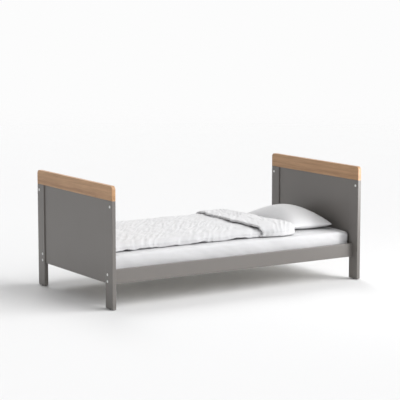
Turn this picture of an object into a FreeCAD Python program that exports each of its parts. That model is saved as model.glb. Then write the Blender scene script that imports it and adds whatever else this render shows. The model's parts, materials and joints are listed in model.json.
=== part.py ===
import FreeCAD, Part
import math
import os

# Toddler bed for a 160 x 70 cm mattress: two board ends joined by side rails, loose slats,
# and the bedding that lies on it. Millimetres. X runs from foot to head, Y from the front
# side to the rear side, Z up. The origin is on the floor under the middle of the bed.

Vector = FreeCAD.Vector
ALONG_X = Vector(1, 0, 0)
ALONG_Y = Vector(0, 1, 0)
ALONG_Z = Vector(0, 0, 1)

# Bed frame
bed_length = 1652.0
bed_width = 870.0
frame_height = 660.0          # from the legs' lower ends to the top of the oak rails
glide_height = 4.0
board = 23.0                  # thickness of posts and top rails
edge_round = 3.0
post_width = 78.0
top_rail_height = 80.0
top_corner_radius = 20.0
panel_thickness = 10.0
panel_clear_of_legs = 132.0   # free height under the panels, above the legs' lower ends
tongue = 8.0                  # how far a panel's edge enters its groove

# Side rails and what carries the slats
rail_setback = 44.0           # from the posts' outer edges to the rail's face
rail_thickness = 20.0
rail_height = 78.0
rail_clear_of_legs = 128.0
bearer_width = 22.0
bearer_height = 30.0
bearer_end_gap = 50.0
slat_count = 14
slat_width = 62.0
slat_thickness = 12.0
slat_end_gap = 3.0            # between a slat's end and the rail
slat_inset = 5.0              # from a bearer's end to the first slat
tape_width = 20.0
tape_thickness = 0.8
tape_spread = 250.0           # each tape's distance from the bed's middle line

# Fittings
bolt_heights = (146.0, 182.0)  # above the legs' lower ends
bolt_radius = 3.0
bolt_clearance = 0.4
bolt_length = 60.0
bolt_head_radius = 5.5
bolt_head_height = 4.5
counterbore_radius = 6.2
counterbore_depth = 9.0
nut_radius = 5.0
nut_length = 14.0
nut_from_rail_end = 40.0
rail_bore_depth = 50.0
dowel_radius = 4.0
dowel_length = 50.0
dowel_places = (36.0, 62.0)   # from a post's outer edge
rail_dowel_length = 30.0
rail_dowel_in_post = 10.0
spare_hole_radius = 5.0
spare_hole_edge = 24.0        # from a post's outer edge
spare_hole_height = 548.0     # above the legs' lower ends
cap_radius = 7.5
cap_flange = 1.6
cap_edge = 1.0
cap_stem = 3.5
cap_stem_clearance = 0.2
glide_radius = 9.0
glide_edge = 1.2
glide_pin_radius = 1.5
glide_pin_length = 14.0
screw_radius = 2.0
screw_head_radius = 4.0
screw_head_height = 2.2
bearer_screw_length = 35.0
bearer_screw_count = 5
bearer_screw_inset = 60.0      # from a bearer's end to its outer screws
slat_screw_length = 30.0

# Bedding
mattress_length = 1600.0
mattress_width = 700.0
mattress_thickness = 100.0
mattress_top_above_legs = 275.0  # with its sheet on, above the legs' lower ends
mattress_corner = 15.0
mattress_edge = 12.0
sheet_thickness = 1.0
sheet_hem = 60.0              # how far the fitted sheet turns under the mattress
gap_over_mattress = 0.6
duvet_foot_gap = 8.0
duvet_head_end = 468.0        # X of the turned-back end
duvet_sides = (-325.0, 300.0)
duvet_thickness = 90.0
duvet_corner = 40.0
duvet_edge = 30.0
cover_thickness = 1.0
pillow_ends = (478.0, 797.0)
pillow_sides = (-248.0, 306.0)
pillow_thickness = 126.0
pillow_corner = 60.0
pillow_edge = 52.0

# Derived places
inner_length = bed_length - 2 * board
foot_face = -inner_length / 2          # inner face of the foot end's posts
head_face = inner_length / 2
post_top = glide_height + frame_height - top_rail_height
panel_bottom = glide_height + panel_clear_of_legs
rail_bottom = glide_height + rail_clear_of_legs
rail_outer_y = bed_width / 2 - rail_setback
rail_inner_y = rail_outer_y - rail_thickness
rail_middle_y = rail_outer_y - rail_thickness / 2
sheet_top = glide_height + mattress_top_above_legs
mattress_top = sheet_top - sheet_thickness
mattress_bottom = mattress_top - mattress_thickness
slat_top = mattress_bottom - sheet_thickness
slat_bottom = slat_top - slat_thickness
bearer_bottom = slat_bottom - bearer_height
bearer_length = inner_length - 2 * bearer_end_gap
rail_dowel_height = glide_height + sum(bolt_heights) / 2

ENDS = {"foot": -1, "head": 1}         # direction of each end along X
SIDES = {"front": -1, "rear": 1}       # direction of each side along Y


def block(x, y, z):
    """A box between the pairs of limits x, y and z, given in any order."""
    low = Vector(min(x), min(y), min(z))
    return Part.makeBox(max(x) - min(x), max(y) - min(y), max(z) - min(z), low)


def rod(radius, length, start, direction):
    return Part.makeCylinder(radius, length, start, direction)


def rounded(shape, radius, wanted):
    """Round the edges for which wanted(edge) is true."""
    return shape.makeFillet(radius, [edge for edge in shape.Edges if wanted(edge)])


def runs_along(edge, axis):
    if not isinstance(edge.Curve, Part.Line):
        return False
    direction = edge.tangentAt(edge.FirstParameter)
    return abs(direction.dot(axis)) > 0.999


def save(name, shape):
    """Write one node, whether it is a single solid or a group of separate solids."""
    if isinstance(shape, list):
        shape = Part.makeCompound(shape)
    shape.exportStep("parts/" + name + ".step")


def each_corner():
    """The four posts' directions from the middle of the bed, as (end, side)."""
    return [(end, side) for end in ENDS.values() for side in SIDES.values()]


def outer_face(end):
    return end * bed_length / 2


def inner_face(end):
    return end * inner_length / 2


def board_middle(end):
    return end * (bed_length - board) / 2


# ---- board ends -------------------------------------------------------------------------

def bolt_heights_from_floor():
    return [glide_height + height for height in bolt_heights]


def post(end, side):
    """One flat post: grooved for the panel, drilled for bolts, dowels and the glide."""
    outer_y = side * bed_width / 2
    inner_y = outer_y - side * post_width
    shape = block((outer_face(end), inner_face(end)), (outer_y, inner_y), (glide_height, post_top))
    shape = rounded(shape, edge_round, lambda edge: runs_along(edge, ALONG_Z))
    middle = board_middle(end)
    half_panel = panel_thickness / 2
    groove = block((middle - half_panel, middle + half_panel),
                   (inner_y, inner_y + side * tongue), (panel_bottom, post_top))
    cuts = [groove]
    inward = Vector(-end, 0, 0)
    bolt_y = side * rail_middle_y
    for height in bolt_heights_from_floor():
        start = Vector(outer_face(end), bolt_y, height)
        cuts.append(rod(bolt_radius + bolt_clearance, board, start, inward))
        cuts.append(rod(counterbore_radius, counterbore_depth, start, inward))
    dowel_start = Vector(inner_face(end), bolt_y, rail_dowel_height)
    cuts.append(rod(dowel_radius, rail_dowel_in_post, dowel_start, -inward))
    spare_y = outer_y - side * spare_hole_edge
    spare_start = Vector(outer_face(end), spare_y, glide_height + spare_hole_height)
    cuts.append(rod(spare_hole_radius, board, spare_start, inward))
    for place in dowel_places:
        top = Vector(middle, outer_y - side * place, post_top)
        cuts.append(rod(dowel_radius, dowel_length / 2, top, -ALONG_Z))
    pin_start = Vector(middle, outer_y - side * post_width / 2, glide_height)
    cuts.append(rod(glide_pin_radius, glide_pin_length, pin_start, ALONG_Z))
    return shape.cut(cuts)


def panel(end):
    """A thin panel held by its tongues in the posts and the top rail."""
    middle = board_middle(end)
    half_width = bed_width / 2 - post_width + tongue
    half_panel = panel_thickness / 2
    return block((middle - half_panel, middle + half_panel), (-half_width, half_width),
                 (panel_bottom, post_top + tongue))


def top_rail_outline(x):
    """The top rail's face, with its two upper corners as arcs."""
    half = bed_width / 2
    low, high = post_top, post_top + top_rail_height
    radius = top_corner_radius
    bow = radius * (1 - math.sqrt(0.5))
    points = [Vector(x, -half, low), Vector(x, half, low), Vector(x, half, high - radius),
              Vector(x, half - radius, high), Vector(x, -half + radius, high),
              Vector(x, -half, high - radius)]
    right_arc = Part.Arc(points[2], Vector(x, half - bow, high - bow), points[3])
    left_arc = Part.Arc(points[4], Vector(x, -half + bow, high - bow), points[5])
    edges = [Part.LineSegment(points[0], points[1]).toShape(),
             Part.LineSegment(points[1], points[2]).toShape(), right_arc.toShape(),
             Part.LineSegment(points[3], points[4]).toShape(), left_arc.toShape(),
             Part.LineSegment(points[5], points[0]).toShape()]
    return Part.Face(Part.Wire(edges))


def top_rail(end):
    """The oak rail over posts and panel, with a groove and dowel holes underneath."""
    middle = board_middle(end)
    face = top_rail_outline(middle - board / 2)
    shape = face.extrude(Vector(board, 0, 0))
    faces_x = (middle - board / 2, middle + board / 2)

    def on_a_face_outline(edge):
        box = edge.BoundBox
        return box.XLength < 0.01 and min(abs(box.XMin - x) for x in faces_x) < 0.01

    shape = rounded(shape, edge_round, on_a_face_outline)
    half_panel = panel_thickness / 2
    half_width = bed_width / 2 - post_width + tongue
    cuts = [block((middle - half_panel, middle + half_panel), (-half_width, half_width),
                  (post_top, post_top + tongue))]
    for side in SIDES.values():
        for place in dowel_places:
            start = Vector(middle, side * (bed_width / 2 - place), post_top)
            cuts.append(rod(dowel_radius, dowel_length / 2, start, ALONG_Z))
    return shape.cut(cuts)


def top_dowels(end):
    low = post_top - dowel_length / 2
    return [rod(dowel_radius, dowel_length,
                Vector(board_middle(end), side * (bed_width / 2 - place), low), ALONG_Z)
            for side in SIDES.values() for place in dowel_places]


# ---- side rails -------------------------------------------------------------------------

def side_rail(side):
    """A side rail, bored at both ends for bolts, cross nuts and a dowel."""
    shape = block((foot_face, head_face), (side * rail_outer_y, side * rail_inner_y),
                  (rail_bottom, rail_bottom + rail_height))
    shape = rounded(shape, edge_round, lambda edge: runs_along(edge, ALONG_X))
    cuts = []
    for end in ENDS.values():
        inward = Vector(-end, 0, 0)
        for height in bolt_heights_from_floor():
            start = Vector(inner_face(end), side * rail_middle_y, height)
            cuts.append(rod(bolt_radius + bolt_clearance, rail_bore_depth, start, inward))
            cuts.append(rod(nut_radius, rail_thickness / 2 + nut_length / 2,
                            nut_mouth(end, side, height), Vector(0, side, 0)))
        dowel_start = Vector(inner_face(end), side * rail_middle_y, rail_dowel_height)
        cuts.append(rod(dowel_radius, rail_dowel_length - rail_dowel_in_post, dowel_start, inward))
    for x in bearer_screw_places():
        tip = Vector(x, side * rail_inner_y, bearer_bottom + bearer_height / 2)
        cuts.append(rod(screw_radius, bearer_screw_length - bearer_width, tip, Vector(0, side, 0)))
    return shape.cut(cuts)


def nut_mouth(end, side, height):
    """Where a cross nut's hole opens on the rail's inner face."""
    return Vector(inner_face(end) - end * nut_from_rail_end, side * rail_inner_y, height)


def rail_bolts():
    """Eight bolts, each with its head at the bottom of its counterbore."""
    bolts = []
    for end, side in each_corner():
        inward = Vector(-end, 0, 0)
        under_head = outer_face(end) - end * counterbore_depth
        for height in bolt_heights_from_floor():
            seat = Vector(under_head, side * rail_middle_y, height)
            shank = rod(bolt_radius, bolt_length, seat, inward)
            head = rod(bolt_head_radius, bolt_head_height, seat, -inward)
            bolts.append(shank.fuse(head).removeSplitter())
    return bolts


def barrel_nuts():
    """A cross nut on each bolt, in the rail's end."""
    nuts = []
    for end, side in each_corner():
        outward = Vector(0, side, 0)
        for height in bolt_heights_from_floor():
            mouth = nut_mouth(end, side, height)
            start = mouth + outward * (rail_thickness / 2 - nut_length / 2)
            bore_start = Vector(mouth.x - nut_radius, side * rail_middle_y, height)
            nut = rod(nut_radius, nut_length, start, outward)
            nuts.append(nut.cut(rod(bolt_radius, 2 * nut_radius, bore_start, ALONG_X)))
    return nuts


def rail_dowels():
    return [rod(dowel_radius, rail_dowel_length,
                Vector(inner_face(end) + end * rail_dowel_in_post, side * rail_middle_y, rail_dowel_height),
                Vector(-end, 0, 0))
            for end, side in each_corner()]


# ---- caps and glides --------------------------------------------------------------------

def cap(seat, outward, stem_radius):
    """A push-in cap: a slightly domed flange on the board and a stem in the hole."""
    flange = rod(cap_radius, cap_flange, seat, outward)
    flange = rounded(flange, cap_edge,
                     lambda edge: (edge.CenterOfMass - seat).dot(outward) > cap_flange / 2)
    stem = rod(stem_radius, cap_stem, seat, -outward)
    return flange.fuse(stem).removeSplitter()


def rail_bolt_caps():
    caps = []
    for end, side in each_corner():
        for height in bolt_heights_from_floor():
            seat = Vector(outer_face(end), side * rail_middle_y, height)
            caps.append(cap(seat, Vector(end, 0, 0), counterbore_radius - cap_stem_clearance))
    return caps


def spare_hole_caps(face_of, direction):
    """Caps on the upper through holes, on the faces that face_of gives."""
    caps = []
    for end, side in each_corner():
        seat = Vector(face_of(end), side * (bed_width / 2 - spare_hole_edge),
                      glide_height + spare_hole_height)
        caps.append(cap(seat, Vector(direction * end, 0, 0), spare_hole_radius - cap_stem_clearance))
    return caps


def glides():
    """A nail-on glide under each leg."""
    parts = []
    for end, side in each_corner():
        centre = Vector(board_middle(end), side * (bed_width - post_width) / 2, 0)
        disc = rod(glide_radius, glide_height, centre, ALONG_Z)
        disc = rounded(disc, glide_edge, lambda edge: edge.CenterOfMass.z < glide_edge / 2)
        pin = rod(glide_pin_radius, glide_pin_length, centre + ALONG_Z * glide_height, ALONG_Z)
        parts.append(disc.fuse(pin).removeSplitter())
    return parts


# ---- slatted base -----------------------------------------------------------------------

def bearer_screw_places():
    span = bearer_length - 2 * bearer_screw_inset
    pitch = span / (bearer_screw_count - 1)
    return [-span / 2 + pitch * number for number in range(bearer_screw_count)]


def screw(tip_to_head, head_top, inward):
    """A countersunk screw whose head's top is at head_top and whose tip points inward."""
    shank = rod(screw_radius, tip_to_head, head_top, inward)
    head = Part.makeCone(screw_head_radius, screw_radius, screw_head_height, head_top, inward)
    return shank.fuse(head).removeSplitter()


def bearer(side):
    """The batten along a rail's inner face that carries the slats' ends."""
    inner_y = rail_inner_y - bearer_width
    shape = block((-bearer_length / 2, bearer_length / 2), (side * rail_inner_y, side * inner_y),
                  (bearer_bottom, slat_bottom))
    cuts = [screw(bearer_screw_length, head, Vector(0, side, 0)) for head in bearer_screw_heads(side)]
    cuts += [slat_screw_shape(x, side) for x in end_slat_places()]
    return shape.cut(cuts)


def bearer_screw_heads(side):
    y = side * (rail_inner_y - bearer_width)
    return [Vector(x, y, bearer_bottom + bearer_height / 2) for x in bearer_screw_places()]


def bearer_screws():
    return [screw(bearer_screw_length, head, Vector(0, side, 0))
            for side in SIDES.values() for head in bearer_screw_heads(side)]


def slat_places():
    span = bearer_length - slat_width - 2 * slat_inset
    return [-span / 2 + span * number / (slat_count - 1) for number in range(slat_count)]


def end_slat_places():
    places = slat_places()
    return [places[0], places[-1]]


def slat_screw_shape(x, side):
    head = Vector(x, side * (rail_inner_y - bearer_width / 2), slat_top)
    return screw(slat_screw_length, head, -ALONG_Z)


def slat_screws():
    """Screws that hold the first and last slats to the bearers."""
    return [slat_screw_shape(x, side) for x in end_slat_places() for side in SIDES.values()]


def slat(x):
    half_length = rail_inner_y - slat_end_gap
    shape = block((x - slat_width / 2, x + slat_width / 2), (-half_length, half_length),
                  (slat_bottom, slat_top))
    shape = rounded(shape, edge_round, lambda edge: runs_along(edge, ALONG_Y))
    if x in end_slat_places():
        shape = shape.cut([slat_screw_shape(x, side) for side in SIDES.values()])
    return shape


def slat_tape(side):
    """The webbing stapled under the slats, which keeps them apart."""
    first, last = end_slat_places()
    middle = side * tape_spread
    return block((first - slat_width / 2, last + slat_width / 2),
                 (middle - tape_width / 2, middle + tape_width / 2),
                 (slat_bottom - tape_thickness, slat_bottom))


# ---- bedding ----------------------------------------------------------------------------

def soft_block(x, y, z, corner, edge):
    """A block with rounded upright corners and rounded upper and lower rims."""
    shape = rounded(block(x, y, z), corner, lambda line: runs_along(line, ALONG_Z))
    heights = (min(z), max(z))
    return rounded(shape, edge, lambda line: line.BoundBox.ZLength < 0.01
                   and min(abs(line.BoundBox.ZMin - height) for height in heights) < 0.01)


def mattress_core():
    half_x, half_y = mattress_length / 2, mattress_width / 2
    return soft_block((-half_x, half_x), (-half_y, half_y), (mattress_bottom, mattress_top),
                      mattress_corner, mattress_edge)


def fitted_sheet():
    """The sheet over the mattress: top, sides and a hem that turns under."""
    half_x = mattress_length / 2 + sheet_thickness
    half_y = mattress_width / 2 + sheet_thickness
    outer = soft_block((-half_x, half_x), (-half_y, half_y),
                       (mattress_bottom - sheet_thickness, sheet_top),
                       mattress_corner + sheet_thickness, mattress_edge + sheet_thickness)
    opening = block((-half_x + sheet_hem, half_x - sheet_hem), (-half_y + sheet_hem, half_y - sheet_hem),
                    (mattress_bottom - sheet_thickness, mattress_bottom))
    return outer.cut([mattress_core(), opening])


def duvet_block(inset):
    low = sheet_top + gap_over_mattress
    side_y = (duvet_sides[0] + inset, duvet_sides[1] - inset)
    return soft_block((foot_face + duvet_foot_gap + inset, duvet_head_end - inset), side_y,
                      (low + inset, low + duvet_thickness - inset),
                      duvet_corner - inset, duvet_edge - inset)


def duvet_filling():
    return duvet_block(cover_thickness)


def duvet_cover():
    return duvet_block(0).cut(duvet_filling())


def pillow_block(inset):
    low = sheet_top + gap_over_mattress
    side_y = (pillow_sides[0] + inset, pillow_sides[1] - inset)
    side_x = (pillow_ends[0] + inset, pillow_ends[1] - inset)
    return soft_block(side_x, side_y, (low + inset, low + pillow_thickness - inset),
                      pillow_corner - inset, pillow_edge - inset)


def pillow_filling():
    return pillow_block(cover_thickness)


def pillowcase():
    return pillow_block(0).cut(pillow_filling())


def main():
    os.makedirs("parts", exist_ok=True)
    for end_name, end in ENDS.items():
        for side_name, side in SIDES.items():
            save(end_name + "_post_" + side_name, post(end, side))
        save(end_name + "_panel", panel(end))
        save(end_name + "_top_rail", top_rail(end))
        save(end_name + "_dowels", top_dowels(end))
    for side_name, side in SIDES.items():
        save("side_rail_" + side_name, side_rail(side))
        save("bearer_" + side_name, bearer(side))
        save("slat_tape_" + side_name, slat_tape(side))
    for number, x in enumerate(slat_places(), start=1):
        save("slat_%02d" % number, slat(x))
    save("rail_bolts", rail_bolts())
    save("barrel_nuts", barrel_nuts())
    save("rail_dowels", rail_dowels())
    save("rail_bolt_caps", rail_bolt_caps())
    save("spare_hole_caps_outer", spare_hole_caps(outer_face, 1))
    save("spare_hole_caps_inner", spare_hole_caps(inner_face, -1))
    save("glides", glides())
    save("bearer_screws", bearer_screws())
    save("slat_screws", slat_screws())
    save("mattress_core", mattress_core())
    save("fitted_sheet", fitted_sheet())
    save("duvet_filling", duvet_filling())
    save("duvet_cover", duvet_cover())
    save("pillow_filling", pillow_filling())
    save("pillowcase", pillowcase())


main()
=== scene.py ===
import json
import math

import bmesh
import bpy
import numpy as np
from bpy.props import FloatProperty, FloatVectorProperty, PointerProperty
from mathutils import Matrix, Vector, noise


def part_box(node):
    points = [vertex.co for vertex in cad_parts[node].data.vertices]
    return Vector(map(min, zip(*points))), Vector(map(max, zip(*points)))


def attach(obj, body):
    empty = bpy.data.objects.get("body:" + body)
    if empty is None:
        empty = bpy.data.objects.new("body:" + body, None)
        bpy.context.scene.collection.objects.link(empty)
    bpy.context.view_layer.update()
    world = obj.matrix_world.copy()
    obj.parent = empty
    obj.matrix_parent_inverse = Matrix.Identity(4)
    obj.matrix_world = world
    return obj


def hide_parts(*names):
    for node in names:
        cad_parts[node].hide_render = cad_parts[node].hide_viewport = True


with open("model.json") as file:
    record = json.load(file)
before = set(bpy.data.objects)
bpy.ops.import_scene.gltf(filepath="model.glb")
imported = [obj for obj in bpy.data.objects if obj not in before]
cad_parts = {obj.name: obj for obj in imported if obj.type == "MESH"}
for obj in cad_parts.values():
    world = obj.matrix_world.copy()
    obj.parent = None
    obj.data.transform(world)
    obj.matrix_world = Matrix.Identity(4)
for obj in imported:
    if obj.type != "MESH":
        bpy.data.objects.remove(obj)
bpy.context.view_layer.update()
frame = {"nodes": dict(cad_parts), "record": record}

bl_info = {
    "name": "Toddler bed",
    "version": (1, 0, 0),
    "blender": (4, 5, 0),
    "location": "3D View > Sidebar > Bed",
    "description": "Finishes and bedding of a low child's bed, built round its CAD frame",
    "category": "Object",
}

SHEET_LOW, SHEET_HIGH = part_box("fitted_sheet")
FOAM_LOW, FOAM_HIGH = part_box("mattress_core")
DUVET_LOW, DUVET_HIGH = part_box("duvet_cover")
PILLOW_LOW, PILLOW_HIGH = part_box("pillowcase")
MM = 0.001
ALL_SIDES = ("+x", "-x", "+y", "-y", "+z", "-z")


# ---------------------------------------------------------------- settings


def colour(name, description, default):
    return FloatVectorProperty(name=name, description=description, subtype="COLOR",
                               size=3, min=0.0, max=1.0, default=default)


def length(name, description, default):
    return FloatProperty(name=name, description=description, unit="LENGTH",
                         subtype="DISTANCE", min=0.0, default=default)


class FinishSettings(bpy.types.PropertyGroup):
    paint: colour("Paint", "Satin paint on the posts, panels and side rails", (0.197, 0.1835, 0.172))
    oak_light: colour("Oak, light", "Early wood of the oak top rails", (0.60, 0.352, 0.182))
    oak_dark: colour("Oak, dark", "Late wood and pores of the oak top rails", (0.40, 0.212, 0.098))
    pine_light: colour("Pine, light", "Early wood of the slats and bearers", (0.80, 0.77, 0.71))
    pine_dark: colour("Pine, dark", "Late wood of the slats and bearers", (0.70, 0.65, 0.57))
    beech: colour("Beech", "Turned beech of the dowels", (0.66, 0.45, 0.28))
    cap: colour("Caps", "Moulded plastic of the bolt and hole caps", (0.86, 0.86, 0.85))
    glide: colour("Glides", "Moulded plastic of the foot glides", (0.030, 0.030, 0.032))
    zinc: colour("Zinc", "Zinc plate on the bolts, nuts and screws", (0.62, 0.63, 0.65))
    webbing: colour("Webbing", "Woven tape that spaces the slats", (0.80, 0.78, 0.72))


class BeddingSettings(bpy.types.PropertyGroup):
    sheet: colour("Sheet", "Cotton of the fitted sheet", (0.70, 0.70, 0.712))
    duvet: colour("Duvet", "Cotton of the duvet cover", (0.69, 0.69, 0.70))
    pillow: colour("Pillow", "Cotton of the pillowcase", (0.79, 0.79, 0.80))
    foam: colour("Foam", "Ticking round the foam mattress", (0.85, 0.85, 0.84))
    mattress_edge: length("Mattress edge", "Rounding of the mattress edges", 14 * MM)
    hem: length("Hem", "How far the fitted sheet turns under the mattress", 60 * MM)
    flap: length("Turned-back flap", "Length of duvet folded back at the head", 308 * MM)
    flap_thickness: length("Flap thickness", "Thickness of the folded-back layer", 14 * MM)
    crinkle: length("Crinkle", "Height of the creases in the washed cotton", 3.6 * MM)
    pillow_width: length("Pillow width", "Flat width of the pillowcase", 0.40)
    pillow_length: length("Pillow length", "Flat length of the pillowcase", 0.60)


class StageSettings(bpy.types.PropertyGroup):
    floor: colour("Floor", "Pale matt floor", (0.825, 0.825, 0.828))
    backdrop: colour("Backdrop", "White space behind the floor", (0.974, 0.974, 0.974))
    floor_radius: length("Floor radius", "Where the floor has faded into the backdrop", 14.0)
    ambient: FloatProperty(name="Ambient", description="Light from all round", default=0.42)
    key: FloatProperty(name="Key", description="Soft light from the front right, W/m2",
                       default=2.70)
    rear: FloatProperty(name="Rear", description="Light from behind, W/m2", default=1.10)
    front: FloatProperty(name="Front", description="Soft box at the front right, watts",
                         subtype="POWER", default=6.5)
    edge: FloatProperty(name="Edge light", description="Narrow lamp on the head end's front edge, watts",
                        subtype="POWER", default=135.0)
    lens: FloatProperty(name="Lens", description="Focal length of the camera, mm",
                        default=141.38)


# ---------------------------------------------------------------- node helpers


EFFECT_OUTPUTS = (("Colour", "NodeSocketColor"), ("Height", "NodeSocketFloat"),
                  ("Roughness", "NodeSocketFloat"))


def feed(tree, socket, value):
    """Links a socket to value, or sets it where value is a plain number or colour."""
    if isinstance(value, bpy.types.NodeSocket):
        tree.links.new(value, socket)
    else:
        socket.default_value = value


def add(tree, kind, inputs=None, **settings):
    """One shader node, with its settings and its inputs as values or sockets."""
    made = tree.nodes.new(kind)
    for key, value in settings.items():
        setattr(made, key, value)
    for key, value in (inputs or {}).items():
        feed(tree, made.inputs[key], value)
    return made


def maths(tree, operation, *values):
    """The result of one operation on values or sockets."""
    made = add(tree, "ShaderNodeMath", operation=operation)
    for socket, value in zip(made.inputs, values):
        feed(tree, socket, value)
    return made.outputs[0]


def ramp(tree, value, start, end, at_start=0.0, at_end=1.0, kind="LINEAR"):
    """Goes from at_start to at_end while value goes from start to end."""
    ends = {"From Min": start, "From Max": end, "To Min": at_start, "To Max": at_end}
    return add(tree, "ShaderNodeMapRange", {"Value": value, **ends}, interpolation_type=kind).outputs[0]


def noise_over(tree, place, scale, detail, roughness=0.5, distortion=0.0):
    """Soft noise from 0 to 1."""
    shape = {"Scale": scale, "Detail": detail, "Roughness": roughness, "Distortion": distortion}
    return add(tree, "ShaderNodeTexNoise", {"Vector": place, **shape}).outputs["Fac"]


def blended(tree, factor, first, second):
    """A colour between first and second."""
    made = add(tree, "ShaderNodeMix", data_type="RGBA")
    sockets = {s.identifier: s for s in made.inputs}
    for key, value in (("Factor_Float", factor), ("A_Color", first), ("B_Color", second)):
        feed(tree, sockets[key], value)
    return next(s for s in made.outputs if s.identifier == "Result_Color")


def effect_group(name, inputs):
    """An empty node group for a surface effect, and the sockets of its input and output."""
    tree = bpy.data.node_groups.new(name, "ShaderNodeTree")
    for label, kind, default in inputs:
        socket = tree.interface.new_socket(label, in_out="INPUT", socket_type=kind)
        socket.default_value = default
    for label, kind in EFFECT_OUTPUTS:
        tree.interface.new_socket(label, in_out="OUTPUT", socket_type=kind)
    return tree, tree.nodes.new("NodeGroupInput").outputs, tree.nodes.new("NodeGroupOutput").inputs


def grain_group():
    """Wood grain that runs along one axis of the object, and a darker band at one height."""
    name = "Wood grain"
    if name in bpy.data.node_groups:
        return bpy.data.node_groups[name]
    tree, given, result = effect_group(
        name,
        [("Light", "NodeSocketColor", (0.7, 0.5, 0.3, 1)),
         ("Dark", "NodeSocketColor", (0.5, 0.3, 0.2, 1)),
         ("Stretch", "NodeSocketVector", (60, 4, 60)), ("Figure", "NodeSocketFloat", 0.6),
         ("Pores", "NodeSocketFloat", 0.4), ("Dark Band Height", "NodeSocketFloat", 0.0),
         ("Dark Band", "NodeSocketFloat", 0.0)])
    place = add(tree, "ShaderNodeTexCoord").outputs["Object"]
    along = add(tree, "ShaderNodeMapping", {"Vector": place, "Scale": given["Stretch"]}).outputs[0]
    bands = noise_over(tree, along, 0.9, 5.0, roughness=0.62, distortion=0.7)
    fibres = noise_over(tree, along, 5.5, 3.0, roughness=0.6)
    clouds = noise_over(tree, place, 6.0, 2.0)
    figure = ramp(tree, bands, 0.36, 0.66)
    pores = ramp(tree, fibres, 0.54, 0.72)
    figured = maths(tree, "MULTIPLY", figure, given["Figure"])
    pored = maths(tree, "MULTIPLY", pores, given["Pores"])
    cloudy = maths(tree, "MULTIPLY", maths(tree, "SUBTRACT", clouds, 0.5), 0.5)
    # Darker along a band 22 mm either side of one set height, broken up by the grain bands.
    level = add(tree, "ShaderNodeSeparateXYZ", {"Vector": place}).outputs["Z"]
    off = maths(tree, "ABSOLUTE", maths(tree, "SUBTRACT", level, given["Dark Band Height"]))
    half_dark_band = 22 * MM
    dark_band = ramp(tree, off, 0.0, half_dark_band, at_start=1.0, at_end=0.0, kind="SMOOTHSTEP")
    dark_banded = maths(tree, "MULTIPLY", maths(tree, "MULTIPLY", dark_band, bands), given["Dark Band"])
    tone = maths(tree, "ADD", maths(tree, "ADD", maths(tree, "ADD", figured, pored), cloudy), dark_banded)
    tone.node.use_clamp = True
    raised = maths(tree, "SUBTRACT", maths(tree, "MULTIPLY", figure, 0.3), pores)
    dulled = maths(tree, "ADD", 0.42, maths(tree, "MULTIPLY", pores, 0.16))
    tree.links.new(blended(tree, tone, given["Light"], given["Dark"]), result["Colour"])
    tree.links.new(raised, result["Height"])
    tree.links.new(dulled, result["Roughness"])
    return tree


def weave_group():
    """Plain weave seen square on from any of the three axes, with slubs, painted shade between the
    threads and soft tonal drift.
    """
    name = "Plain weave"
    if name in bpy.data.node_groups:
        return bpy.data.node_groups[name]
    tree, given, result = effect_group(
        name,
        [("Thread", "NodeSocketColor", (0.8, 0.8, 0.8, 1)), ("Pitch", "NodeSocketFloat", 0.0006),
         ("Shade", "NodeSocketFloat", 0.10), ("Drift", "NodeSocketFloat", 0.04)])
    coordinates = add(tree, "ShaderNodeTexCoord").outputs
    wave = maths(tree, "DIVIDE", math.pi, given["Pitch"])
    slubs = noise_over(tree, coordinates["Object"], 260.0, 2.0)
    place = add(tree, "ShaderNodeSeparateXYZ", {"Vector": coordinates["Object"]}).outputs
    facing = add(tree, "ShaderNodeSeparateXYZ", {"Vector": coordinates["Normal"]}).outputs
    ribs = [maths(tree, "SINE", maths(tree, "MULTIPLY", place[axis], wave)) for axis in "XYZ"]
    woven = None
    for axis, first, second in (("X", 1, 2), ("Y", 0, 2), ("Z", 0, 1)):
        checks = maths(tree, "MULTIPLY", ribs[first], ribs[second])
        part = maths(tree, "MULTIPLY", checks, maths(tree, "ABSOLUTE", facing[axis]))
        woven = part if woven is None else maths(tree, "ADD", woven, part)
    height = maths(tree, "ADD", maths(tree, "MULTIPLY", woven, 0.5), slubs)
    drift = noise_over(tree, coordinates["Object"], 9.0, 3.0)
    # Painted shade: darker where the weave lies low between the threads, as deep as Shade, plus a random
    # tonal drift.
    shade = maths(tree, "MULTIPLY", maths(tree, "SUBTRACT", 1.0, height), given["Shade"])
    drifted = maths(tree, "MULTIPLY", drift, given["Drift"])
    darker = maths(tree, "ADD", shade, drifted)
    darker.node.use_clamp = True
    thread_gap_shade = (0.35, 0.35, 0.36, 1)
    dulled = maths(tree, "ADD", 0.78, maths(tree, "MULTIPLY", slubs, 0.15))
    tree.links.new(blended(tree, darker, given["Thread"], thread_gap_shade), result["Colour"])
    tree.links.new(height, result["Height"])
    tree.links.new(dulled, result["Roughness"])
    return tree


def finish_group():
    """Small unevenness of a painted, moulded or plated surface: tint, gloss and orange peel."""
    name = "Surface finish"
    if name in bpy.data.node_groups:
        return bpy.data.node_groups[name]
    tree, given, result = effect_group(
        name,
        [("Base", "NodeSocketColor", (0.5, 0.5, 0.5, 1)), ("Tint", "NodeSocketFloat", 0.05),
         ("Gloss", "NodeSocketFloat", 0.45), ("Spread", "NodeSocketFloat", 0.08),
         ("Peel Scale", "NodeSocketFloat", 500.0)])
    place = add(tree, "ShaderNodeTexCoord").outputs["Object"]
    patches = noise_over(tree, place, 5.0, 4.0)
    peel = noise_over(tree, place, given["Peel Scale"], 1.0)
    amount = maths(tree, "MULTIPLY", patches, given["Tint"])
    tree.links.new(blended(tree, amount, given["Base"], (0.0, 0.0, 0.0, 1)), result["Colour"])
    tree.links.new(peel, result["Height"])
    uneven = maths(tree, "MULTIPLY", maths(tree, "SUBTRACT", patches, 0.5), given["Spread"])
    tree.links.new(maths(tree, "ADD", given["Gloss"], uneven), result["Roughness"])
    return tree


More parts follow.
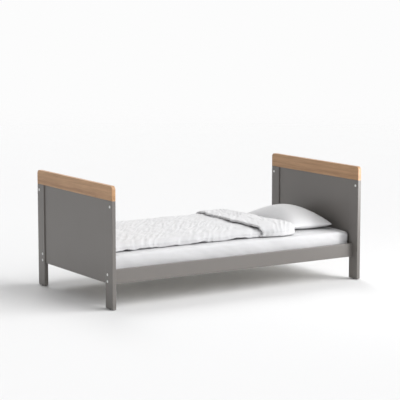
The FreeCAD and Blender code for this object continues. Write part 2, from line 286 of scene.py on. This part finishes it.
def surfaced(name, group, given, bump_depth, constants=None):
    """A material whose Principled shader takes colour, roughness and bump from one effect group.

    The constants go straight on to the shader's own sockets."""
    material = bpy.data.materials.new(name)
    material.use_nodes = True
    tree = material.node_tree
    shader = tree.nodes["Principled BSDF"]
    effect = add(tree, "ShaderNodeGroup", node_tree=group)
    for key, value in given.items():
        effect.inputs[key].default_value = value
    tree.links.new(effect.outputs["Colour"], shader.inputs["Base Color"])
    tree.links.new(effect.outputs["Roughness"], shader.inputs["Roughness"])
    bump = add(tree, "ShaderNodeBump", {"Height": effect.outputs["Height"], "Distance": bump_depth})
    tree.links.new(bump.outputs[0], shader.inputs["Normal"])
    for key, value in (constants or {}).items():
        shader.inputs[key].default_value = value
    material.diffuse_color = shader.inputs["Base Color"].default_value
    return material


# ---------------------------------------------------------------- finishes


def opaque(rgb):
    return (*rgb, 1.0)


def paint_finish(look):
    return surfaced("grey_paint", finish_group(),
                    {"Base": opaque(look.paint), "Tint": 0.06, "Gloss": 0.33, "Spread": 0.06,
                     "Peel Scale": 420.0}, 0.04 * MM)


def oak_finish(look):
    # The oak also darkens along a band round 0.603 m up, the lower part of the top rails.
    return surfaced("oak", grain_group(),
                    {"Light": opaque(look.oak_light), "Dark": opaque(look.oak_dark),
                     "Stretch": (90, 3.2, 90), "Figure": 0.62, "Pores": 0.45,
                     "Dark Band Height": 0.603, "Dark Band": 0.75},
                    0.12 * MM, {"Coat Weight": 0.15, "Coat Roughness": 0.3})


def slat_finish(look):
    return surfaced("pine_slats", grain_group(),
                    {"Light": opaque(look.pine_light), "Dark": opaque(look.pine_dark),
                     "Stretch": (70, 3.0, 70), "Figure": 0.75, "Pores": 0.12}, 0.15 * MM)


def bearer_finish(look):
    return surfaced("pine_bearers", grain_group(),
                    {"Light": opaque(look.pine_light), "Dark": opaque(look.pine_dark),
                     "Stretch": (3.0, 70, 70), "Figure": 0.75, "Pores": 0.12}, 0.15 * MM)


def beech_finish(look):
    dark = tuple(0.8 * c for c in look.beech)
    return surfaced("beech", grain_group(),
                    {"Light": opaque(look.beech), "Dark": opaque(dark), "Stretch": (90, 90, 6),
                     "Figure": 0.4, "Pores": 0.5}, 0.1 * MM)


def cap_finish(look):
    return surfaced("white_plastic", finish_group(),
                    {"Base": opaque(look.cap), "Tint": 0.03, "Gloss": 0.32, "Spread": 0.06,
                     "Peel Scale": 900.0}, 0.02 * MM)


def glide_finish(look):
    return surfaced("glide_plastic", finish_group(),
                    {"Base": opaque(look.glide), "Tint": 0.15, "Gloss": 0.5, "Spread": 0.15,
                     "Peel Scale": 1200.0}, 0.05 * MM)


def zinc_finish(look):
    return surfaced("zinc_steel", finish_group(),
                    {"Base": opaque(look.zinc), "Tint": 0.25, "Gloss": 0.34, "Spread": 0.25,
                     "Peel Scale": 1500.0}, 0.02 * MM, {"Metallic": 1.0})


def webbing_finish(look):
    return surfaced("webbing", weave_group(),
                    {"Thread": opaque(look.webbing), "Pitch": 0.0011, "Shade": 0.35, "Drift": 0.1},
                    0.4 * MM, {"Sheen Weight": 0.2, "Sheen Roughness": 0.5})


def cotton_finish(name, thread, pitch, drift):
    return surfaced(name, weave_group(),
                    {"Thread": opaque(thread), "Pitch": pitch, "Shade": 0.05, "Drift": drift},
                    0.12 * MM,
                    {"Sheen Weight": 0.25, "Sheen Roughness": 0.45, "Specular IOR Level": 0.25})


def foam_finish(bedding):
    return surfaced("foam", finish_group(),
                    {"Base": opaque(bedding.foam), "Tint": 0.12, "Gloss": 0.9, "Spread": 0.05,
                     "Peel Scale": 700.0}, 0.8 * MM)


# ---------------------------------------------------------------- mesh helpers


def spaced(start, end, step, fine_width=0.0, fine_step=None):
    """Positions from start to end, about step apart, and fine_step apart near both ends."""
    if not fine_width:
        return np.linspace(start, end, max(2, round((end - start) / step) + 1))
    few = max(2, round(fine_width / fine_step) + 1)
    middle = np.linspace(start + fine_width, end - fine_width,
                         max(2, round((end - start - 2 * fine_width) / step) + 1))
    return np.concatenate([np.linspace(start, start + fine_width, few)[:-1], middle,
                           np.linspace(end - fine_width, end, few)[1:]])


def box_skin(xs, ys, zs, sides):
    """Points and quads of grids on the named sides of a box, such as "+z", turned outwards."""
    axes = (xs, ys, zs)
    points, quads = [], []
    for side in sides:
        axis = "xyz".index(side[1])
        first, second = [(1, 2), (2, 0), (0, 1)][axis]
        if side[0] == "-":
            first, second = second, first
        rows, columns = len(axes[first]), len(axes[second])
        grid = np.zeros((rows, columns, 3))
        grid[..., first] = axes[first][:, None]
        grid[..., second] = axes[second][None, :]
        grid[..., axis] = axes[axis][-1 if side[0] == "+" else 0]
        number = np.arange(rows * columns).reshape(rows, columns) + sum(map(len, points))
        points.append(grid.reshape(-1, 3))
        corners = (number[:-1, :-1], number[1:, :-1], number[1:, 1:], number[:-1, 1:])
        quads.append(np.stack(corners, -1).reshape(-1, 4))
    points, quads = np.concatenate(points), np.concatenate(quads)
    keys, index = np.unique(np.round(points, 7), axis=0, return_inverse=True)
    return keys, index.ravel()[quads]


def rounded(points, low, high, radii):
    """Points of a box moved on to the same box with rounded edges, and their outward normals."""
    low, high, radii = np.array(low), np.array(high), np.array(radii)
    inner = np.clip(points, low + radii, high - radii)
    away = (points - inner) / radii
    away /= np.maximum(np.linalg.norm(away, axis=1, keepdims=True), 1e-9)
    normals = away / radii
    normals /= np.maximum(np.linalg.norm(normals, axis=1, keepdims=True), 1e-9)
    return inner + away * radii, normals


def puffed(points, low, high, radii, lower):
    """Like rounded, for a pad that lies on something: its lower rim is only lower high."""
    radii = np.broadcast_to(radii, points.shape).copy()
    middle = low[2] + lower + (high[2] - low[2] - lower - radii[:, 2]) / 2
    top, top_normals = rounded(points, low, high, radii)
    radii[:, 2] = lower
    base, base_normals = rounded(points, low, high, radii)
    upper = (points[:, 2] > middle)[:, None]
    return np.where(upper, top, base), np.where(upper, top_normals, base_normals)


def field(points, scale, offset=(0, 0, 0)):
    """Smooth noise from about -1 to 1 at points, with a size in metres for each axis."""
    placed = points / np.array(scale) + np.array(offset)
    return np.array([noise.noise(Vector(p)) for p in placed])


def eased(value):
    value = np.clip(value, 0.0, 1.0)
    return value * value * (3 - 2 * value)


def mesh_of(name, points, faces):
    mesh = bpy.data.meshes.new(name)
    mesh.from_pydata([tuple(p) for p in points], [], [tuple(int(i) for i in f) for f in faces])
    return mesh


def new_piece(name, points, faces, material):
    mesh = mesh_of(name, points, faces)
    mesh.validate()
    mesh.shade_smooth()
    mesh.materials.append(material)
    piece = bpy.data.objects.new(name, mesh)
    bpy.context.scene.collection.objects.link(piece)
    return piece


def thickened(piece, thickness):
    """Gives a single layer of cloth its thickness, inwards."""
    wall = piece.modifiers.new("wall", "SOLIDIFY")
    wall.thickness, wall.offset = thickness, -1.0


def crinkles(points, seed):
    """Height of short soft creases that run slantwise across the washed cotton, about -1 to 1."""
    lean = math.radians(43)
    across = points[:, 0] * math.cos(lean) - points[:, 1] * math.sin(lean)
    along = points[:, 0] * math.sin(lean) + points[:, 1] * math.cos(lean)
    flat = np.stack([across, along, points[:, 2]], 1)
    flat[:, 0] += 0.012 * field(points, (0.12, 0.12, 0.12), (seed, 0, 0))
    sharpness, softness = 2.2, 0.003
    folds = field(flat, (0.026, 0.15, 0.12), (0, seed, 0))
    creases = 1.0 - sharpness * np.sqrt(folds ** 2 + softness)
    ripples = field(flat, (0.012, 0.070, 0.07), (0, 0, seed))
    dimples = field(points, (0.040, 0.040, 0.040), (seed, 0, seed))
    return creases * 0.60 + ripples * 0.36 + dimples * 0.45


# ---------------------------------------------------------------- operators


class BED_OT_finishes(bpy.types.Operator):
    """Gives every visible board, slat and fitting of the frame its finish"""
    bl_idname = "bed.finishes"
    bl_label = "Frame finishes"

    def execute(self, context):
        look = context.scene.bed_finish
        made = {"grey_paint": paint_finish(look), "oak": oak_finish(look), "pine": slat_finish(look),
                "beech": beech_finish(look), "white_plastic": cap_finish(look),
                "glide_plastic": glide_finish(look), "zinc_steel": zinc_finish(look),
                "webbing": webbing_finish(look)}
        bearers = bearer_finish(look)
        for row in frame["record"]["subparts"]:
            node = frame["nodes"][row["node"]]
            material = made.get(row["material_slot"])
            if material is None:
                continue
            if row["node"].startswith("bearer"):
                material = bearers
            node.data.materials.clear()
            node.data.materials.append(material)
        return {"FINISHED"}


class BED_OT_mattress(bpy.types.Operator):
    """Builds the foam mattress that shows between the slats"""
    bl_idname = "bed.mattress"
    bl_label = "Mattress"

    def execute(self, context):
        bedding = context.scene.bed_bedding
        low, high = np.array(FOAM_LOW), np.array(FOAM_HIGH)
        low, high = low + (3 * MM, 3 * MM, 0.5 * MM), high - 3 * MM
        xs, ys, zs = (spaced(a, b, 20 * MM, 16 * MM, 4 * MM) for a, b in zip(low, high))
        points, quads = box_skin(xs, ys, zs, ALL_SIDES)
        points, normals = rounded(points, low, high, (0.012, 0.012, 0.012))
        points += normals * (0.8 * MM * field(points, (0.2, 0.2, 0.2)))[:, None]
        points[:, 2] = np.maximum(points[:, 2], FOAM_LOW[2])
        piece = new_piece("mattress", points, quads, foam_finish(bedding))
        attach(piece, "mattress")
        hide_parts("mattress_core")
        return {"FINISHED"}


class BED_OT_sheet(bpy.types.Operator):
    """Stretches the fitted sheet over the mattress, with its hem turned under"""
    bl_idname = "bed.fitted_sheet"
    bl_label = "Fitted sheet"

    def execute(self, context):
        bedding = context.scene.bed_bedding
        low, high = np.array(SHEET_LOW), np.array(SHEET_HIGH)
        edge, hem = bedding.mattress_edge, bedding.hem
        xs, ys, zs = (spaced(a, b, 9 * MM, edge + 3 * MM, 2.6 * MM) for a, b in zip(low, high))
        flat, quads = box_skin(xs, ys, zs, ALL_SIDES)
        middle = flat[quads].mean(1)
        inside = np.minimum(middle - low, high - middle)[:, :2].min(1)
        underneath = middle[:, 2] < low[2] + 1e-6
        quads = quads[~(underneath & (inside > hem))]
        used, quads = np.unique(quads, return_inverse=True)
        flat, quads = flat[used], quads.reshape(-1, 4)
        points, normals = rounded(flat, low, high, (edge, edge, edge))
        rise, fall = points[:, 2] - low[2], high[2] - points[:, 2]
        side = eased(rise / (30 * MM)) * eased(fall / (30 * MM))
        bulge = side * np.abs(normals[:, 1]) * 2.5 * MM
        leaning = points + points[:, 2:3] * (1.2, 1.2, 0)
        slack = 3.2 * MM * field(leaning, (0.13, 0.13, 0.10))
        slack += 1.6 * MM * field(leaning, (0.045, 0.045, 0.12), (3, 0, 0))
        corner = np.hypot(np.abs(points[:, 0]) - high[0], np.abs(points[:, 1]) - high[1])
        droop = 7 * MM * np.exp(-(corner / (60 * MM)) ** 2) * eased(rise / (high[2] - low[2]))
        held_at_ends = 1 - 0.8 * np.abs(normals[:, 0])
        points += normals * (bulge + slack * held_at_ends)[:, None]
        points[:, 2] -= droop
        side_room = 4 * MM
        limit = np.array([high[0], high[1] + side_room])
        points[:, :2] = np.clip(points[:, :2], -limit, limit)
        points[:, 2] = np.clip(points[:, 2], low[2] + 0.2 * MM, high[2] + 0.4 * MM)
        piece = new_piece("fitted_sheet_cover", points, quads,
                          cotton_finish("sheet_cotton", bedding.sheet, 0.0005, 0.03))
        thickened(piece, 0.7 * MM)
        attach(piece, "mattress")
        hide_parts("fitted_sheet")
        return {"FINISHED"}


def duvet_crown(points, low, near):
    """Lowers the near part of the top, which slopes down to near times its height."""
    slope_width = 300 * MM
    slope = np.clip((points[:, 1] - low[1]) / slope_width, 0, 1)
    share = near + (1 - near) * (0.35 * slope + 0.65 * eased(slope))
    points[:, 2] = low[2] + (points[:, 2] - low[2]) * share
    return points


def head_slant(points):
    """How far the head edge of the duvet lies back from its near corner."""
    return 65 * MM * eased((points[:, 1] + 250 * MM) / (220 * MM))


def duvet_body(bedding, material):
    """The folded duvet: crowned, with a wavy near rim and open layers at the foot and the far side."""
    low = np.array(DUVET_LOW) + (0, 40 * MM, 0)
    high = np.array(DUVET_HIGH) - (20 * MM, 3 * MM, 16 * MM)
    xs, ys = (spaced(low[i], high[i], 4.5 * MM) for i in (0, 1))
    zs = spaced(low[2], high[2], 4 * MM)
    flat, quads = box_skin(xs, ys, zs, ALL_SIDES)
    points, normals = puffed(flat, low, high, (0.045, 0.038, 0.038), 11 * MM)
    points = duvet_crown(points, low, 0.66)
    above = eased((points[:, 2] - low[2]) / (18 * MM))
    broad = 3.0 * MM * field(points, (0.17, 0.13, 0.2), (7, 0, 0))
    height = bedding.crinkle * crinkles(points, 2.0) + broad
    open_edge = np.maximum(normals[:, 1], 0) + np.maximum(-normals[:, 0], 0)
    gap_level, gap_depth, gap_width = low[2] + 0.47 * (high[2] - low[2]), 8 * MM, 5 * MM
    gap = gap_depth * open_edge * np.exp(-((points[:, 2] - gap_level) / gap_width) ** 2)
    points += normals * (height * above - gap)[:, None]
    along = points * (1, 0, 0)
    sway = 5.0 * MM * field(along, (0.085, 1, 1), (0, 3, 0))
    sway += 7.0 * MM * field(along, (0.27, 1, 1), (0, 6, 0))
    points[:, 1] += sway * np.maximum(-normals[:, 1], 0)
    rim_height, rim_width, rim_lift = 20 * MM, 60 * MM, 13 * MM
    rim = np.exp(-(points[:, 2] - low[2]) / rim_height)
    rim *= eased((low[1] + rim_width - points[:, 1]) / (50 * MM))
    lifted = field(along, (0.045, 1, 1), (0, 9, 0)) + 0.9 * field(along, (0.12, 1, 1), (0, 5, 0))
    points[:, 2] += rim_lift * rim * np.maximum(lifted + 0.25, 0)
    foot_reach, near_reach, foot_spread = 130 * MM, 200 * MM, 20 * MM
    foot = eased((low[0] + foot_reach - points[:, 0]) / foot_reach)
    near = eased((low[1] + near_reach - points[:, 1]) / near_reach)
    points[:, 1] -= foot_spread * foot * near
    slant_start = 150 * MM
    head = eased((points[:, 0] - slant_start) / (high[0] - slant_start))
    points[:, 0] -= head_slant(points) * head
    points[:, 2] = np.maximum(points[:, 2], low[2])
    return new_piece("duvet_body", points, quads, material)


def flap_edge(points, low):
    """Where the turned-back layer ends: straight over the top, curling under at the near side."""
    skew, near_skew, curl, curl_height = 42 * MM, 16 * MM, 19 * MM, 56 * MM
    shift = skew * eased((-60 * MM - points[:, 1]) / (190 * MM))
    shift += near_skew * eased((-235 * MM - points[:, 1]) / (50 * MM))
    near_side = points[:, 1] < -200 * MM
    down = np.clip((low[2] + curl_height - points[:, 2]) / curl_height, 0, 1) * near_side
    return shift + curl * np.sin(down * math.pi)


def duvet_flap(bedding, material):
    """The layer turned back over the duvet, whose free edge rolls under into a lip."""
    low, high = np.array(DUVET_LOW), np.array(DUVET_HIGH)
    low[1] += 22 * MM
    edge_x = high[0] - bedding.flap
    lip_rows, lip_turn, tuck = 10, math.radians(175), 24 * MM
    lip_radius = bedding.flap_thickness / 2
    row = 1 * MM
    lip_xs = edge_x - np.arange(lip_rows, 0, -1) * row
    fine_end = edge_x + 30 * MM
    xs = np.concatenate([lip_xs, spaced(edge_x, fine_end, 2.5 * MM)[:-1],
                         spaced(fine_end, high[0], 4.5 * MM)])
    ys, zs = spaced(low[1], high[1], 4.0 * MM), spaced(low[2], high[2], 3.6 * MM)
    flat, quads = box_skin(xs, ys, zs, ("+x", "+y", "-y", "+z"))
    lip = np.clip((edge_x - flat[:, 0]) / row, 0, lip_rows) / lip_rows
    placed = flat.copy()
    placed[:, 0] = np.maximum(placed[:, 0], edge_x)
    far_start, far_width = -100 * MM, 400 * MM
    far = eased((placed[:, 1] - far_start) / far_width)
    side_radii = np.full(len(far), 0.046)
    radii = np.stack([0.070 + 0.042 * far, side_radii, side_radii], 1)
    open_end = low - (0.2, 0, 0)
    points, normals = puffed(placed, open_end, high, radii, 16 * MM)
    points = duvet_crown(points, low, 0.80)
    along = np.clip((points[:, 0] - edge_x) / (high[0] - edge_x), 0, 1)
    near = eased((-200 * MM - points[:, 1]) / (100 * MM))
    down = np.clip((high[2] - points[:, 2]) / (high[2] - low[2]), 0, 1)
    overhang = 36 * MM * near * np.sin(math.pi * along ** 1.15)
    points[:, 1] -= overhang * (0.25 + 0.75 * down)
    above = eased((points[:, 2] - low[2]) / (14 * MM))
    broad = 3.0 * MM * field(points, (0.13, 0.13, 0.2), (1, 4, 0))
    height = bedding.crinkle * crinkles(points, 5.0) + broad
    points += normals * (height * above)[:, None]
    reach = 1 - along
    scallop = 9.0 * MM * field(points, (0.028, 0.028, 0.028), (9, 0, 0))
    scallop += 7.0 * MM * field(points, (0.10, 0.07, 0.10), (4, 0, 0))
    ripple = 4.0 * MM * field(points * (0, 1, 0), (1, 0.034, 1), (2, 0, 7))
    points[:, 2] += ripple * reach ** 8 * above
    points[:, 0] += (flap_edge(points, low) + scallop * reach ** 4) * reach
    points[:, 0] -= head_slant(points) * eased(along)
    turn = np.minimum(lip * lip_rows / (lip_rows - 1), 1) * lip_turn
    points[:, 0] -= lip_radius * np.sin(turn)
    points[:, 0] += tuck * np.clip(lip * lip_rows - (lip_rows - 1), 0, 1)
    under = lip_radius * (1 - np.cos(turn)) * (1 - np.abs(normals[:, 0]))
    points -= normals * under[:, None]
    points[:, 2] = np.maximum(points[:, 2], low[2])
    return new_piece("duvet_flap", points, quads, material)


class BED_OT_duvet(bpy.types.Operator):
    """Builds the duvet, folded lengthwise, and its layer turned back at the head"""
    bl_idname = "bed.duvet"
    bl_label = "Duvet"

    def execute(self, context):
        bedding = context.scene.bed_bedding
        material = cotton_finish("duvet_cotton", bedding.duvet, 0.0006, 0.05)
        body = duvet_body(bedding, material)
        flap = duvet_flap(bedding, material)
        thickened(flap, 3 * MM)
        for piece, nodes in ((body, ("duvet_filling", "duvet_cover")), (flap, ("duvet_cover",))):
            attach(piece, "duvet")
            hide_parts(*nodes)
        return {"FINISHED"}


def sewn_case(width, long, step, opening):
    """Two flat panels sewn together round their edge, and opening apart on each side between."""
    xs, ys = spaced(-width / 2, width / 2, step), spaced(-long / 2, long / 2, step)
    points, quads = box_skin(xs, ys, np.array([-1.0, 1.0]), ("+z", "-z"))
    u, v = points[:, 0] / (width / 2), points[:, 1] / (long / 2)
    rim = (np.abs(u) > 1 - 1e-6) | (np.abs(v) > 1 - 1e-6)
    points[:, 2] *= opening * (1 - u ** 4) * (1 - v ** 4)
    points[rim, 2] = 0.0
    keys, index = np.unique(np.round(points, 7), axis=0, return_inverse=True)
    return keys, index.ravel()[quads]


def split_corners(quads):
    """The faces, with each quad at a corner of the case cut in two from the corner."""
    uses = np.bincount(quads.ravel())
    faces = []
    for quad in quads:
        corner = np.flatnonzero(uses[quad] == 2)
        a, b, c, d = (int(i) for i in np.roll(quad, -corner[0] if len(corner) else 0))
        faces += [(a, b, c), (a, c, d)] if len(corner) else [(a, b, c, d)]
    return faces


def inflated(points, quads, frames, pressure):
    """The same mesh after a cloth simulation has blown it up."""
    mesh = mesh_of("case_rest", points, quads)
    case = bpy.data.objects.new("case_rest", mesh)
    scene = bpy.context.scene
    scene.collection.objects.link(case)
    cloth = case.modifiers.new("fill", "CLOTH")
    cloth.settings.quality = 7
    cloth.settings.mass = 0.15
    cloth.settings.tension_stiffness = cloth.settings.compression_stiffness = 25
    cloth.settings.shear_stiffness = 12
    cloth.settings.bending_stiffness = 3.0
    cloth.settings.use_pressure = True
    cloth.settings.uniform_pressure_force = pressure
    cloth.settings.effector_weights.gravity = 0
    cloth.point_cache.frame_start, cloth.point_cache.frame_end = 1, frames
    for number in range(1, frames + 1):
        scene.frame_set(number)
    shape = case.evaluated_get(bpy.context.evaluated_depsgraph_get()).to_mesh()
    blown = np.zeros(len(shape.vertices) * 3)
    shape.vertices.foreach_get("co", blown)
    bpy.data.objects.remove(case)
    bpy.data.meshes.remove(mesh)
    scene.frame_set(1)
    return blown.reshape(-1, 3)


def laid_pillow(shape, low, high, fullness=None):
    """A shape from -1 to 1, as a soft lens with pinched corners that lies on the mattress."""
    crest_u, crest_v, round_u, round_v, softness = 0.089, 0.017, 1.64, 1.64, 0.63
    corner_pull, side_pull, skew = 0.276, 0.045, 18 * MM
    seam, spare_height, belly = 30 * MM, 31 * MM, 2.6
    u, v = np.clip(shape[:, 0], -1, 1), np.clip(shape[:, 1], -1, 1)
    from_crest_u = np.abs(u + crest_u * (1 - u * u))
    from_crest_v = np.abs(v + crest_v * (1 - v * v))
    dome = ((1 - from_crest_u ** round_u) * (1 - from_crest_v ** round_v)) ** softness
    if fullness is not None:
        dome = np.clip(np.abs(fullness), 0, 1)
    middle, half = (low + high) / 2, (high - low) / 2
    head = eased((u + 1) / 2)
    rise = (high[2] - low[2] - spare_height) * dome
    dip = -seam * np.tanh(belly * dome)
    placed = np.zeros_like(shape)
    placed[:, 0] = middle[0] + half[0] * u * (1 - corner_pull * head * np.abs(v) ** 3)
    placed[:, 1] = middle[1] + half[1] * v * (1 - side_pull * (1 - u ** 2)) - skew * u
    placed[:, 2] = low[2] + seam + np.where(shape[:, 2] > 0, rise, dip)
    placed[:, 2] += 1.6 * MM * field(shape, (0.45, 0.35, 1.0)) * dome
    return placed


class BED_OT_pillow(bpy.types.Operator):
    """Sews and fills the pillow, and lays it against the head end"""
    bl_idname = "bed.pillow"
    bl_label = "Pillow"

    def execute(self, context):
        bedding = context.scene.bed_bedding
        low, high = np.array(PILLOW_LOW), np.array(PILLOW_HIGH)
        width, long, opening, sewn_share = bedding.pillow_width, bedding.pillow_length, 10 * MM, 0.16
        case, quads = sewn_case(width, long, 9 * MM, opening)
        flat = case / (width / 2, long / 2, opening)
        blown = inflated(case, quads, frames=20, pressure=3.5)
        span = blown.max(0) - blown.min(0)
        sewn = (blown - (blown.max(0) + blown.min(0)) / 2) / span * 2
        placed = laid_pillow(flat, low, high) * (1 - sewn_share)
        placed += laid_pillow(sewn, low, high, sewn[:, 2]) * sewn_share
        placed[:, 2] = np.maximum(placed[:, 2], low[2] + 0.2 * MM)
        piece = new_piece("pillow_cushion", placed, split_corners(quads),
                          cotton_finish("pillow_cotton", bedding.pillow, 0.0005, 0.03))
        relax = piece.modifiers.new("relax", "SMOOTH")
        relax.factor, relax.iterations = 0.5, 5
        smooth = piece.modifiers.new("smooth", "SUBSURF")
        smooth.levels = smooth.render_levels = 1
        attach(piece, "pillow")
        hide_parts("pillowcase", "pillow_filling")
        return {"FINISHED"}


def floor_finish(stage):
    """Matt floor that fades out into the backdrop well away from the bed."""
    material = bpy.data.materials.new("stage_floor")
    material.use_nodes = True
    tree = material.node_tree
    shader = tree.nodes["Principled BSDF"]
    shader.inputs["Base Color"].default_value = opaque(stage.floor)
    shader.inputs["Roughness"].default_value = 0.9
    shader.inputs["Specular IOR Level"].default_value = 0.1
    place = add(tree, "ShaderNodeTexCoord").outputs["Object"]
    away = add(tree, "ShaderNodeVectorMath", {0: place}, operation="LENGTH").outputs["Value"]
    solid_radius = 2.6
    fade = ramp(tree, away, solid_radius, stage.floor_radius,
                at_start=1.0, at_end=0.0, kind="SMOOTHSTEP")
    tree.links.new(fade, shader.inputs["Alpha"])
    return material


def lamp(kind, name, power, back, place=(0, 0, 0)):
    """A light of one kind at place, that shines away from the direction back."""
    light = bpy.data.lights.new(name, kind)
    light.energy = power
    made = bpy.data.objects.new(name, light)
    made.location = place
    made.rotation_euler = Vector(back).to_track_quat("Z", "Y").to_euler()
    bpy.context.scene.collection.objects.link(made)
    return made


def sun(name, power, towards, spread):
    lamp("SUN", name, power, towards).data.angle = math.radians(spread)


def soft_box(name, power, place, target, size):
    made = lamp("AREA", name, power, Vector(place) - Vector(target), place)
    made.data.shape = "RECTANGLE"
    made.data.size, made.data.size_y = size
    made.visible_camera = False


def spot(name, power, place, target, width):
    light = lamp("SPOT", name, power, Vector(place) - Vector(target), place).data
    light.spot_size, light.spot_blend = math.radians(width), 1.0
    light.shadow_soft_size = 0.15


def studio_lights(stage):
    """Broad light from the front right and from behind, and two lamps on the head end."""
    front_right, behind = (0.60, -0.55, 0.58), (0.17, 0.72, 0.67)
    sun("key", stage.key, front_right, 62)
    sun("rear", stage.rear, behind, 30)
    head_end, head_front_edge = (0.8, -0.4, 0.4), (0.84, -0.44, 0.50)
    soft_box("front_box", stage.front, (1.60, -1.50, 0.95), head_end, (0.6, 0.6))
    spot("edge_light", stage.edge, (2.25, -2.25, 0.62), head_front_edge, 17)


def white_world(stage):
    """Even light from all round, and the pale backdrop that the camera sees."""
    world = bpy.data.worlds.new("studio")
    bpy.context.scene.world = world
    world.use_nodes = True
    tree = world.node_tree
    tree.nodes.clear()
    seen = add(tree, "ShaderNodeBackground", {"Color": opaque(stage.backdrop), "Strength": 1.0})
    lit = add(tree, "ShaderNodeBackground", {"Color": (1, 1, 1, 1), "Strength": stage.ambient})
    ray = add(tree, "ShaderNodeLightPath").outputs["Is Camera Ray"]
    either = add(tree, "ShaderNodeMixShader", {0: ray, 1: lit.outputs[0], 2: seen.outputs[0]})
    out = add(tree, "ShaderNodeOutputWorld")
    tree.links.new(either.outputs[0], out.inputs["Surface"])


def studio_floor(stage):
    margin = 1.0
    mesh = bpy.data.meshes.new("floor")
    plane = bmesh.new()
    bmesh.ops.create_circle(plane, cap_ends=True, segments=96, radius=stage.floor_radius + margin)
    plane.to_mesh(mesh)
    plane.free()
    mesh.materials.append(floor_finish(stage))
    floor = bpy.data.objects.new("floor", mesh)
    bpy.context.scene.collection.objects.link(floor)


def studio_camera(stage):
    """A long lens that looks down a little on the bed from its front left."""
    place, turn, tilt = (-4.7949, -7.5641, 1.7305), math.radians(-32.348), math.radians(7.954)
    lens = bpy.data.cameras.new("camera")
    lens.lens, lens.sensor_width, lens.clip_end = stage.lens, 36.0, 1000.0
    lens.dof.use_dof = False
    camera = bpy.data.objects.new("camera", lens)
    camera.location = place
    back = (math.sin(turn) * math.cos(tilt), -math.cos(turn) * math.cos(tilt), math.sin(tilt))
    camera.rotation_euler = Vector(back).to_track_quat("Z", "Y").to_euler()
    bpy.context.scene.collection.objects.link(camera)
    bpy.context.scene.camera = camera


class BED_OT_stage(bpy.types.Operator):
    """Sets the pale floor, the studio lights and the camera"""
    bl_idname = "bed.stage"
    bl_label = "Stage"

    def execute(self, context):
        stage = context.scene.bed_stage
        studio_floor(stage)
        white_world(stage)
        studio_lights(stage)
        studio_camera(stage)
        context.scene.view_settings.view_transform = "Standard"
        return {"FINISHED"}


class BED_PT_panel(bpy.types.Panel):
    """The steps that dress the bed, and their sizes and colours"""
    bl_idname = "BED_PT_panel"
    bl_label = "Toddler bed"
    bl_space_type = "VIEW_3D"
    bl_region_type = "UI"
    bl_category = "Bed"

    def draw(self, context):
        for group, operators in STEPS:
            box = self.layout.box()
            settings = getattr(context.scene, group)
            for key in settings.__annotations__:
                box.prop(settings, key)
            for operator in operators:
                box.operator(operator.bl_idname)


STEPS = (
    ("bed_finish", (BED_OT_finishes,)),
    ("bed_bedding", (BED_OT_mattress, BED_OT_sheet, BED_OT_duvet, BED_OT_pillow)),
    ("bed_stage", (BED_OT_stage,)),
)
GROUPS = {"bed_finish": FinishSettings, "bed_bedding": BeddingSettings, "bed_stage": StageSettings}


def register():
    for name, group in GROUPS.items():
        bpy.utils.register_class(group)
        setattr(bpy.types.Scene, name, PointerProperty(type=group))
    for _, operators in STEPS:
        for operator in operators:
            bpy.utils.register_class(operator)
    bpy.utils.register_class(BED_PT_panel)


def unregister():
    bpy.utils.unregister_class(BED_PT_panel)
    for _, operators in STEPS:
        for operator in operators:
            bpy.utils.unregister_class(operator)
    for name, group in GROUPS.items():
        delattr(bpy.types.Scene, name)
        bpy.utils.unregister_class(group)


def main():
    register()
    for _, operators in STEPS:
        for operator in operators:
            group, action = operator.bl_idname.split(".")
            getattr(getattr(bpy.ops, group), action)()


if __name__ == "__main__":
    main()
